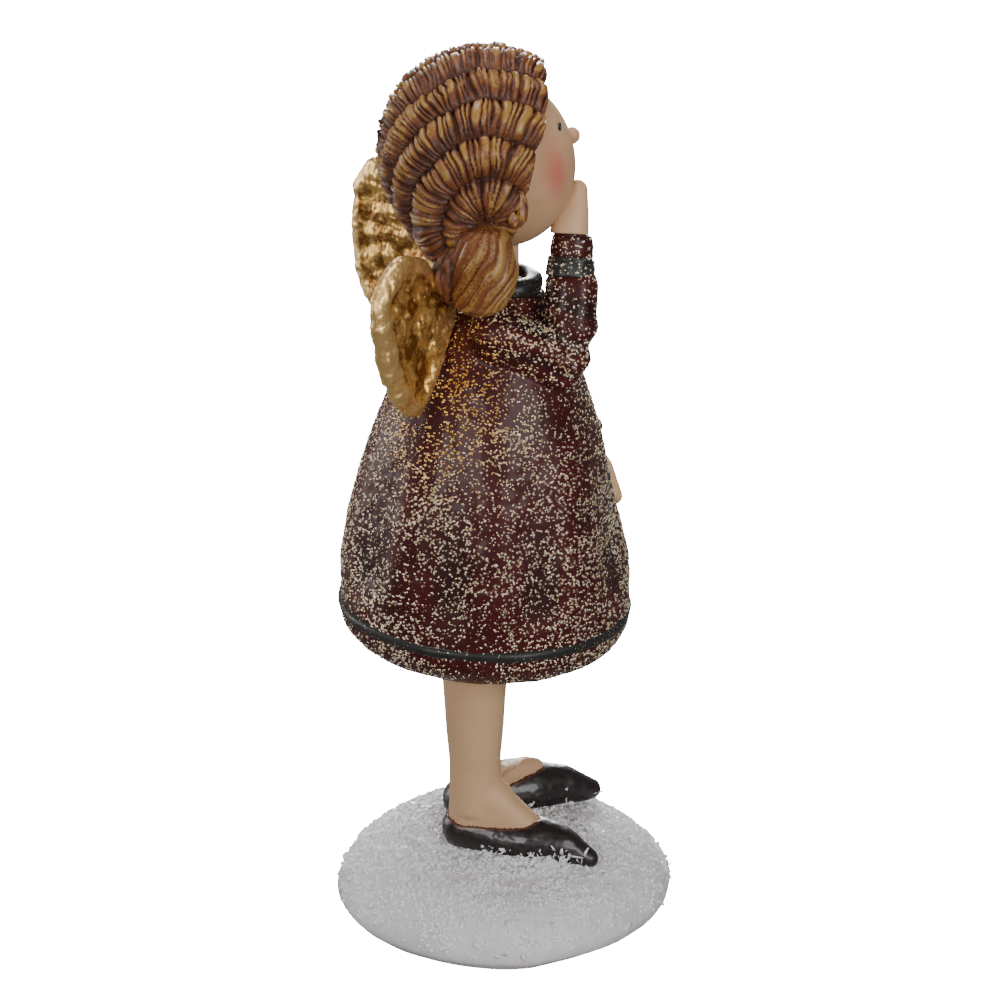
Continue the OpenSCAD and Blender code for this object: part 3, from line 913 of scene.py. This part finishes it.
def tip_head(co):
    """Turns points of an upright head to where the tipped head is."""
    x, y, z = co[:, 0], co[:, 1], co[:, 2]
    return np.stack([x, HEAD_MID.y + y * cos(HEAD_TIP) + z * sin(HEAD_TIP),
                     HEAD_MID.z - y * sin(HEAD_TIP) + z * cos(HEAD_TIP)], axis=1)


def head_point(turn, lift, out=0.0):
    """A place on the face: degrees to the figure's left and up, and mm outwards."""
    a, b = radians(turn), radians(lift)
    d = np.array([sin(a) * cos(b), -cos(a) * cos(b), sin(b)])
    r = 1 / np.sqrt((d[0] ** 2 + d[1] ** 2) / HEAD_R ** 2 + d[2] ** 2 / HEAD_HALF_H ** 2) + out
    return tip_head((d * r * MM)[None])[0]


print("the tip of the face is at", (head_point(0, 0) / MM).round(1), "mm")

# %% Head and nose
CHEEK_TURN, CHEEK_LIFT = 47, -8
NOSE_R = 1.15

head = ball(HEAD_R * MM, cuts=9)
co = points(head) * (1, 1, HEAD_HALF_H / HEAD_R)
turn = np.degrees(np.arctan2(co[:, 0], -co[:, 1]))
lift = np.degrees(np.arcsin(co[:, 2] / np.linalg.norm(co, axis=1)))
cheek = np.exp(-((np.abs(turn) - CHEEK_TURN) / 13) ** 2 - ((lift - CHEEK_LIFT) / 20) ** 2)
mark(head, "blush", np.clip(cheek * 0.85, 0, 1))
move_to(head, tip_head(co))
hang(head, "painted_head", skin.material, "face", "head")

nose = ball(NOSE_R * MM, cuts=4)
co = points(nose)
stem = smooth_step(-0.2 * MM, 0.9 * MM, co[:, 1])
co[:, 2] *= 1.12
co[:, 1] += 0.15 * MM * stem
mark(nose, "blush", np.full(len(co), 0.12))
move_to(nose, co + head_point(0, 2, 0.15))
hang(nose, "button_nose", skin.material, "face", "nose")

# %% Eyes and neck
EYE_TURN, EYE_LIFT = 25, 18

ink = Finish("eye_ink", Roughness=0.15, Coat_Weight=1.0, Coat_Roughness=0.05)
ink.put("Base Color", ink.blend(ink.noise(0.4, 2), rgb(14, 12, 14), rgb(34, 30, 33)))
ink.tell()
for side, name in ((-1, "right"), (1, "left")):
    eye = ball(0.72 * MM, cuts=3)
    co = points(eye) * (0.85, 0.3, 1.3)
    a = radians(EYE_TURN * side)
    co = np.stack([co[:, 0] * cos(a) - co[:, 1] * sin(a),
                   co[:, 0] * sin(a) + co[:, 1] * cos(a), co[:, 2]], axis=1)
    move_to(eye, co + head_point(EYE_TURN * side, EYE_LIFT, -0.05))
    hang(eye, name + "_ink_eye", ink.material, "eye", name + "_eye")

neck = blank_from("neck", voxel=0.3, soften=6)
mark(neck, "blush", np.zeros(len(neck.data.vertices)))
hang(neck, "smooth_neck", skin.material, "skin", "neck")

# %% Hands
HEEL_SPREAD = 1.3

for side in ("right", "left"):
    hand = blank_from(side + "_hand", voxel=0.16, soften=6)
    co = points(hand)
    low, high = co.min(0), co.max(0)
    share = (co[:, 2] - low[2]) / (high[2] - low[2])
    if side == "right":
        # the heel of the hand spreads towards the chin
        near_face = smooth_step(low[1], high[1], co[:, 1])
        heel = np.sin(pi * np.clip(0.25 + 0.75 * share, 0, 1)) ** 0.7
        co[:, 1] += HEEL_SPREAD * MM * near_face * heel
    else:
        # the other one lies closer against the dress
        co[:, 1] += (0.9 + 1.2 * share) * MM
    move_to(hand, co)
    mark(hand, "blush", np.zeros(len(hand.data.vertices)))
    hang(hand, side + "_mitten_hand", skin.material, "skin", side + "_hand")

# %% [markdown]
# ## The hair
# The hair is combed back from a middle parting to a bunch over each ear, in deep
# set waves. Seen from the side, the waves are rings round the bunch: rounded
# crests with sharp valleys between them, cut across by many short chisel marks for
# the locks. So the height of every point comes from two numbers only: how far it
# is from the bunch, and which way round it. The same height is stored for the
# paint, which is a red-brown wash in the cuts with ochre dragged over the crests,
# with a painted highlight on the outer part of each wave and painted shade on its
# inner part.

# %% Hair finish
tress = Finish("brushed_hair", Coat_Weight=0.12, Coat_Roughness=0.25,
               Specular_IOR_Level=0.35)
drybrush_and_highlight = tress.stored("drybrush_and_highlight")
fine = tress.noise(0.5, 3, 0.6)
broad = tress.noise(3.2, 2)
wash_and_shade = tress.blend(broad, rgb(60, 32, 22), rgb(84, 46, 30))
mid = tress.blend(tress.clip(drybrush_and_highlight + 0.4 * (fine - 0.5), 0.2, 0.5), wash_and_shade,
                  tress.blend(broad, rgb(112, 62, 34), rgb(124, 74, 38)))
tress.put("Base Color", tress.blend(tress.clip(drybrush_and_highlight + 0.7 * (fine - 0.5), 0.52, 0.8), mid,
                                    rgb(154, 116, 60)))
tress.put("Roughness", 0.5 - 0.22 * tress.clip(drybrush_and_highlight, 0.3, 0.9) + 0.1 * fine)
tress.put("Normal", tress.bump(tress.noise(0.35, 3), 0.05, 0.5))
tress.tell()

# %% The cap, opened for the face
hair_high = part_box("hair_cap")[1]
HAIR_R = hair_high.x / MM
HAIR_MID = np.array([0, hair_high.y / MM - HAIR_R, hair_high.z / MM - HAIR_R])
HAIRLINE, HAIR_SLOPE = 6.6, radians(13)

cap = ball((HAIR_R - 0.45) * MM, tuple(HAIR_MID * MM), cuts=11)
edit(cap)
plane_normal = (0, -cos(HAIR_SLOPE), -sin(HAIR_SLOPE))
plane_point = (HAIR_MID + (0, -HAIRLINE, 0)) * MM
bpy.ops.mesh.bisect(plane_co=plane_point, plane_no=plane_normal, clear_outer=True)
bpy.ops.object.mode_set(mode="OBJECT")
print("hair cap has", len(cap.data.polygons), "faces after the face is opened")

# %% The height of waves and locks
BUNCH = np.array([13.6, 4.5, 118.5])
VALLEYS = np.array([0.0, 7.4, 13.5, 18.3, 22.4, 27.4, 33.0])
WAVE_HEIGHT, LOCK_W = 1.1, 1.0


def hair_height(co):
    """Height of waves and locks in mm, and the tone of crests, cuts, painted highlight and painted
    shade from 0 to 1.
    """
    p = co / MM
    side = np.where(p[:, 0] < 0, -1, 1)
    rel = p - BUNCH * np.stack([side, np.ones(len(p)), np.ones(len(p))], axis=1)
    far = np.linalg.norm(rel, axis=1)
    back_share = np.clip(rel[:, 1] / np.maximum(far, 1e-6), 0, 1)
    d = far * (1 + 0.2 * back_share) + 0.35 * lumps(co, 6 * MM, 71)
    ring = np.clip(np.searchsorted(VALLEYS, d) - 1, 0, len(VALLEYS) - 2)
    low, high = VALLEYS[ring], VALLEYS[ring + 1]
    t = np.clip((d - low) / (high - low), 0, 1)
    angle = np.arctan2(rel[:, 1], rel[:, 2])
    along = angle * np.maximum((low + high) / 2, 5.5) / LOCK_W
    along = along + 0.8 * (t - 0.5) * (chance(ring, side, 6) - 0.35) \
        + 0.6 * lumps(co, 3.2 * MM, 72) + 0.12 * lumps(co, 1.0 * MM, 73) \
        + chance(ring, side, 5) * 7
    along = along + 0.3 * np.sin(1.8 * along + 3 * side)
    lock = np.floor(along)
    u = along - lock
    width = 0.3 + 0.4 * chance(lock, ring, 3 + side)
    cut = np.minimum(u / width, (1 - u) / (1 - width))
    groove = np.sin(pi / 2 * np.clip((cut - 0.1) * 2.0, 0, 1)) ** 0.7
    short = smooth_step(-0.1, 0.1 + 0.25 * chance(lock, ring, 12), t)
    t = np.clip(t + 0.1 * (1 - groove) * smooth_step(0.5, 1, t)
                + 0.1 * (chance(lock, ring, 14) - 0.5) * smooth_step(0.4, 1, t), 0, 1)
    wave = np.sin(pi * t ** 1.25) ** 0.55
    depth = 0.5 + 0.45 * chance(lock, ring, 8 + side)
    step = 0.3 * (chance(lock, ring, 15) - 0.5)
    streak = lumps(np.stack([along * 2.4, d * 0.5, ring * 7.0], axis=1), 1.0, 74)
    height = WAVE_HEIGHT * (wave - 0.62) + step * wave \
        + (depth * (groove - 0.75) + 0.12 * streak) * short
    start = 0.05 + 0.4 * chance(lock, ring, 9)
    # painted highlight on the outer part of each wave; the inner part, below start, stays dark
    # red-brown as painted shade
    lit = smooth_step(start, start + 0.25, t) * smooth_step(1.02, 0.86, t)
    tone = (0.36 + 0.46 * lit * (0.45 + 0.75 * chance(lock, ring, 10))) * (0.2 + 0.8 * groove)
    tone = tone * smooth_step(-0.06, 0.1, t) * smooth_step(1.03, 0.94, t) \
        + 0.3 * streak * (0.4 + 0.6 * lit)
    tone = tone * np.where(ring == 0, 0.85, 1) + 0.12 * lumps(co, 4.5 * MM, 75)
    return height, np.clip(tone, 0, 1)


print("the waves have valleys at", VALLEYS[1:], "mm from the bunch")

# %% Carving the cap
co = points(cap)
out = co / MM - HAIR_MID
out /= np.linalg.norm(out, axis=1)[:, None]
height, drybrush_and_highlight_tone = hair_height(co)
nape = np.stack([np.abs(out[:, 0]), out[:, 1], out[:, 2]], axis=1) - (0.55, 0.42, -0.72)
height = height + 2.8 * np.exp(-(np.linalg.norm(nape, axis=1) / 0.34) ** 2)
parting = 1.1 * np.exp(-(co[:, 0] / (0.55 * MM)) ** 2)
ahead = ((co / MM - HAIR_MID - (0, -HAIRLINE, 0)) @ -np.array(plane_normal))
lip = 0.9 * np.clip(1 - ahead / 0.9, 0, 1) ** 2
move_to(cap, co + out * ((height - parting - lip) * MM)[:, None])
mark(cap, "drybrush_and_highlight", drybrush_and_highlight_tone - 0.5 * parting)
print("the hair stands from", height.min().round(2), "to", height.max().round(2), "mm")

# %% Closing the front of the cap
edit(cap, "DESELECT")
bpy.ops.mesh.select_mode(type="EDGE")
bpy.ops.mesh.select_non_manifold()
middle = Vector(HAIR_MID * MM + np.array([0, -HAIRLINE * MM, 0]))
bpy.ops.mesh.extrude_region_move()
bpy.ops.transform.resize(value=(0.9, 1, 0.9), center_override=middle)
bpy.ops.transform.translate(value=(0, 0.6 * MM, 0))
bpy.ops.mesh.extrude_region_move()
bpy.ops.transform.resize(value=(0.72, 1, 0.72), center_override=middle)
bpy.ops.transform.translate(value=(0, 2 * MM, 0))
bpy.ops.mesh.edge_face_add()
bpy.ops.mesh.select_all(action="SELECT")
bpy.ops.mesh.normals_make_consistent(inside=False)
bpy.ops.object.mode_set(mode="OBJECT")
# the hairline draws back towards the ears
co = points(cap)
back = 0.8 * smooth_step(132, 126, co[:, 2] / MM) + 0.9 * smooth_step(123, 113, co[:, 2] / MM)
co[:, 1] += back * MM * smooth_step(3, -5, co[:, 1] / MM)
move_to(cap, co)
hang(cap, "waved_hair", tress.material, "hair", "hair_cap")

# %% [markdown]
# The bunches hang from the sides like soft pears, with their locks twisted round
# them. Each is a ball drawn out into a pear, with spiral cuts. A little hooked
# curl sits in front of each bunch, and a plain lock falls behind it.

# %% Bunches
SPIRALS = 13

for side, name in ((-1, "right"), (1, "left")):
    low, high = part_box(name + "_bun")
    mid = (low + high) / 2
    bun = ball(1.0, cuts=8)
    co = points(bun)
    drop = (1 - co[:, 2]) / 2
    fat = np.interp(drop, (0, 0.04, 0.12, 0.3, 0.55, 0.75, 0.9, 0.97, 1),
                    (0, 0.6, 0.84, 0.93, 1.0, 0.96, 0.82, 0.58, 0))
    twist = np.arctan2(co[:, 1], co[:, 0] * side) * SPIRALS / (2 * pi) - 5.0 * drop ** 1.1 \
        + 0.9 * lumps(co, 0.7, 81 + side)
    u = twist - np.floor(twist)
    groove = np.clip(np.sin(pi * u), 0, 1) ** 0.6
    weight = np.sin(pi * np.clip(drop, 0, 1)) ** 0.5
    cuts_in = (groove - 0.75) * 0.6 * (0.4 + 0.6 * weight) \
        * (0.6 + 0.8 * chance(np.floor(twist), side, 4))
    radius = np.array((high - low) / 2) / MM
    shape = co * (radius + (0, 0, 0.3))
    shape[:, :2] *= (fat / np.maximum(np.hypot(co[:, 0], co[:, 1]), 1e-4))[:, None]
    shape[:, :2] += co[:, :2] * cuts_in[:, None]
    shape[:, 2] += cuts_in * 0.3
    shape[:, 1] += 0.5 + 0.9 * smooth_step(0.5, 1, drop) - 0.3 * smooth_step(0.3, 0.6, drop)
    move_to(bun, (shape + np.array(mid) / MM) * MM)
    fine_cut = np.abs(np.sin(3 * pi * twist + 2 * lumps(co, 0.5, 83)))
    # painted highlight: the front and the lower end of the bunch are painted lighter
    sunny = smooth_step(0.4, -0.8, co[:, 1]) + 0.6 * smooth_step(0.6, 1, drop)
    streak = lumps(np.stack([twist * 2.5, drop * 3, drop * 0], axis=1), 1.0, 84)
    tone = (0.34 + 0.25 * groove + 0.15 * fine_cut) \
        * (0.7 + 0.4 * chance(np.floor(twist), side, 7))
    mark(bun, "drybrush_and_highlight", np.clip(tone + 0.2 * sunny * groove + 0.22 * streak, 0, 1))
    hang(bun, name + "_bunch", tress.material, "hair", name + "_bun")

# %% Front curls and back locks
def carve(piece, depth, squeeze, size, seed, plain, contrast):
    """Cuts fine locks into a curl, and stores the tone of their crests."""
    co = points(piece)
    cuts_in = lumps(co * squeeze, size * MM, seed)
    move_to(piece, co + normals(piece) * (depth * cuts_in * MM)[:, None])
    mark(piece, "drybrush_and_highlight", np.clip(plain + contrast * cuts_in, 0, 1))


for side, name in ((-1, "right"), (1, "left")):
    low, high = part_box(name + "_curl")
    mid = np.array((low + high) / 2) / MM
    hook = [mid + (side * dx, dy, dz) for dx, dy, dz in (
        (-1.4, 0.5, 4.5), (-0.7, 0.2, 2.6), (-0.2, 0.0, 0.6), (-0.1, 0.5, -1.1),
        (-0.1, 1.6, -1.2), (-0.1, 2.1, -0.1), (-0.2, 1.6, 0.6))]
    curl = strand(hook, (0.4, 0.7, 0.9, 0.85, 0.75, 0.6, 0.4))
    rework(curl, 0.14, 3)
    carve(curl, 0.16, (1.6, 1.6, 0.5), 0.7, 85, 0.55, 0.4)
    hang(curl, name + "_front_curl", tress.material, "hair", name + "_curl")

    tail = [(side * x, y, z) for x, y, z in (
        (10.4, 7.6, 115.5), (10.8, 8.4, 112.5), (10.8, 9.0, 110), (10.6, 9.3, 108.0),
        (10.4, 9.2, 106.6))]
    lock = strand(tail, (1.4, 2.5, 3.0, 2.8, 1.5))
    rework(lock, 0.16, 3)
    carve(lock, 0.35, (1.5, 1.5, 0.4), 0.8, 86, 0.3, 0.35)
    hang(lock, name + "_back_lock", tress.material, "hair")

# %% [markdown]
# ## The wings
# The wings are thick cast plates covered in imitation gold leaf: a padded rim that
# catches the light and is painted a paler gold as a painted highlight, and a face
# inside it that is crumpled like foil, darker where the leaf has sunk. They are
# reworked from their nodes. How deep a point lies inside the outline tells the rim
# from the face.

# %% Gold leaf
gold = Finish("gold_leaf", Metallic=0.88)
rim = gold.stored("rim")
crumple = gold.noise(0.55, 4, 0.65)
patina = gold.noise(2.6, 3, 0.6)
leaf = gold.blend(gold.clip(patina, 0.36, 0.6), rgb(150, 98, 42), rgb(252, 202, 116))
# painted highlight: the rim is painted a paler gold where it catches the light
gold.put("Base Color", gold.blend(gold.clip(rim + 0.4 * (crumple - 0.5), 0.35, 0.9), leaf,
                                  rgb(250, 206, 132)))
gold.put("Roughness", 0.2 + 0.3 * crumple)
gold.put("Normal", gold.bump(crumple, 0.2, 0.6, gold.bump(gold.noise(1.6, 3), 0.35, 0.5)))
gold.tell()

# %% Wings
WING_SHIFT = 1.3

for name in ("right", "left"):
    wing = blank_from(name + "_wing", voxel=0.3, soften=2)
    co, n = points(wing), normals(wing)
    # the plate's own axes: the last one is the direction that it is thinnest in
    span = co - co.mean(0)
    axes = np.linalg.svd(span[::5], full_matrices=False)[2]
    plan, off = span @ axes[:2].T, span @ axes[2]
    wall = plan[np.abs(n @ axes[2]) < 0.25][::2]
    inside = nearest(plan, wall) / MM
    thick = 0.3 + 1.25 * np.sqrt(np.clip(1 - (1 - np.clip(inside / 2.4, 0, 1)) ** 2, 0, 1)) \
        - 0.5 * smooth_step(2.2, 4.4, inside)
    half = np.abs(off).max()
    co = co + axes[2] * (off * (thick * MM / half - 1))[:, None]
    rework(move_to(wing, co), 0.24, 5)
    co, n = points(wing), normals(wing)
    plan = (co - co.mean(0)) @ axes[:2].T
    inside = nearest(plan, wall) / MM
    face = smooth_step(1.7, 3.6, inside + 0.5 * lumps(co, 2.2 * MM, 94))
    wrinkle = np.abs(lumps(co, 1.3 * MM, 91)) + 0.6 * np.abs(lumps(co, 0.6 * MM, 92)) - 0.45
    feather = np.sin(plan[:, 0] / MM * 1.5 + 2 * lumps(co, 6 * MM, 95))
    lift_by = (0.35 * wrinkle + 0.18 * feather) * (0.55 + 0.45 * face) \
        + 0.2 * lumps(co, 3.2 * MM, 93) + 0.1 * lumps(co, 0.8 * MM, 96) * (1 - face)
    co = co + n * (lift_by * MM)[:, None]
    if name == "left":
        peg_low, peg_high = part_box("left_wing_peg")
        away = np.linalg.norm(co - np.array((peg_low + peg_high) / 2), axis=1)
        # the far wing hangs a little lower and further back than its node
        co[:, 2] -= WING_SHIFT * MM * smooth_step(0, 12 * MM, co[:, 2] - co[:, 2].mean())
        co[:, 1] += WING_SHIFT * MM * smooth_step(4 * MM, 15 * MM, away)
    move_to(wing, co)
    # the rim is marked for its painted highlight
    mark(wing, "rim", 1 - face)
    hang(wing, name + "_gilded_wing", gold.material, "gold", name + "_wing")

# %% [markdown]
# ## Light and floor
# The object stands on a pale sweep in soft light. Most of the light comes from
# behind and around, which edges the dark dress in white, and a dimmer soft front
# light shows the colours. The floor and the backdrop are seen by the camera only,
# so that they stay a clean pale ground and do not flood the casting from below.

# %% Floor and backdrop
def glow(name, colour, strength):
    """A plain surface that shines by itself."""
    made = bpy.data.materials.new(name)
    made.use_nodes = True
    shader = made.node_tree.nodes["Principled BSDF"]
    shader.inputs["Base Color"].default_value = colour
    shader.inputs["Emission Color"].default_value = colour
    shader.inputs["Emission Strength"].default_value = strength
    return made


pale = glow("pale_sweep", rgb(255, 255, 255), 30.0)
bpy.ops.mesh.primitive_plane_add(size=4, location=(0, 0, -0.0002))
floor = bpy.context.object
bpy.ops.mesh.primitive_uv_sphere_add(segments=48, ring_count=24, radius=2.5)
backdrop = bpy.context.object
for ground, name in ((floor, "floor"), (backdrop, "backdrop")):
    ground.name = name
    ground.data.materials.append(pale)
    ground.visible_diffuse = ground.visible_glossy = False
    ground.visible_transmission = ground.visible_shadow = False
print("the sweep is", floor.name, "and", backdrop.name)

# %% Sky
sky = bpy.data.worlds.new("studio")
bpy.context.scene.world = sky
sky.use_nodes = True
tree = sky.node_tree
ways = tree.nodes.new("ShaderNodeTexCoord")
aim = tree.nodes.new("ShaderNodeVectorMath")
aim.operation = "DOT_PRODUCT"
aim.inputs[1].default_value = (-towards_camera.x, -towards_camera.y, 0.15)
# the sky is bright behind the figurine and dimmer behind the camera
ramp = tree.nodes.new("ShaderNodeMapRange")
ramp.interpolation_type = "SMOOTHSTEP"
for socket, value in (("From Min", -0.6), ("From Max", 0.8), ("To Min", 0.95), ("To Max", 3.4)):
    ramp.inputs[socket].default_value = value
tree.links.new(ways.outputs["Generated"], aim.inputs[0])
tree.links.new(aim.outputs["Value"], ramp.inputs["Value"])
# light also comes up from the floor
bounce = tree.nodes.new("ShaderNodeMapRange")
upward_only = tree.nodes.new("ShaderNodeSeparateXYZ")
for socket, value in (("From Min", 0.0), ("From Max", -0.9), ("To Min", 0.0), ("To Max", 3.0)):
    bounce.inputs[socket].default_value = value
both = tree.nodes.new("ShaderNodeMath")
tree.links.new(ways.outputs["Generated"], upward_only.inputs[0])
tree.links.new(upward_only.outputs["Z"], bounce.inputs["Value"])
tree.links.new(ramp.outputs["Result"], both.inputs[0])
tree.links.new(bounce.outputs["Result"], both.inputs[1])
tree.links.new(both.outputs["Value"], tree.nodes["Background"].inputs["Strength"])
print("the sky has", len(tree.nodes), "nodes")

# %% Lamps
def softbox(name, place, size, power):
    """A square lamp that faces the middle of the figurine."""
    place = Vector(place)
    bpy.ops.object.light_add(
        type="AREA", location=place,
        rotation=(CAMERA_AIM - place).to_track_quat("-Z", "Y").to_euler())
    lamp = bpy.context.object
    lamp.name = name
    lamp.data.size, lamp.data.energy = size, power
    print(name, size, "m wide,", power, "W")


sideways = towards_camera.cross(Vector((0, 0, 1))).normalized()
softbox("front_softbox", towards_camera * 0.8 + sideways * -0.5 + Vector((0, 0, 0.1)), 0.5, 6.5)
softbox("fill_softbox", towards_camera * 0.9 + sideways * 0.45, 0.3, 3.5)
softbox("top_softbox", (0.1, 0.1, 0.95), 0.4, 5)
softbox("rear_left_softbox", towards_camera * -0.35 + sideways * 0.8 + Vector((0, 0, 0.3)), 0.4, 3)
softbox("rear_softbox", towards_camera * -0.75 + Vector((0, 0, 0.5)), 0.3, 7)
